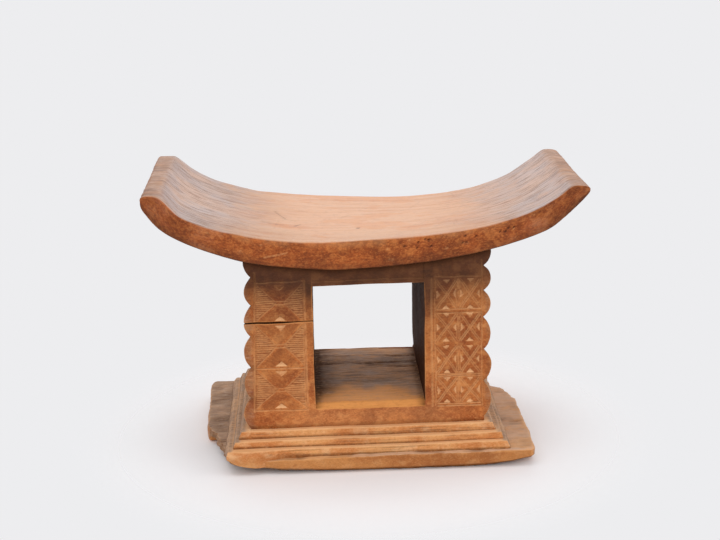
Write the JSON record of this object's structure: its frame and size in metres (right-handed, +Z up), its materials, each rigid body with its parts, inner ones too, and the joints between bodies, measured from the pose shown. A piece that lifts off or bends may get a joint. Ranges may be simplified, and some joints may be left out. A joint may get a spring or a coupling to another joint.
{
  "type": "carved wooden neckrest",
  "caption": "Carved wooden headrest: saddle seat on two scalloped, incised walls around an open window, over a stepped plinth and base slab.",
  "frame": {"origin": "middle of the base slab's underside, under the middle of the object's box", "axes": "+Z up; +X along the seat, to the right seen from the front; the front faces -Y"},
  "size_m": [0.3, 0.162, 0.196],
  "materials": {
    "worn_seat_wood": "hand-polished and worn, grey-brown at the raised ends",
    "dark_shaded_wood": "dark brown patina, matt",
    "carved_front_wood": "orange-brown patina with lighter worn arrises and fresh chip cuts",
    "plinth_wood": "orange-brown, knife-cut, worn pale along the edges",
    "weathered_slab_wood": "weathered grey-brown, dry and rough"
  },
  "bodies": {
    "root": {"seat": "worn_seat_wood", "lintel": "dark_shaded_wood", "left_wall_upper": "carved_front_wood", "left_wall_lower": "carved_front_wood", "right_wall": "carved_front_wood", "window_sill": "carved_front_wood", "plinth_step_top": "plinth_wood", "plinth_step_middle": "plinth_wood", "plinth_step_bottom": "plinth_wood", "base_slab": "weathered_slab_wood"}
  },
  "joints": []
}
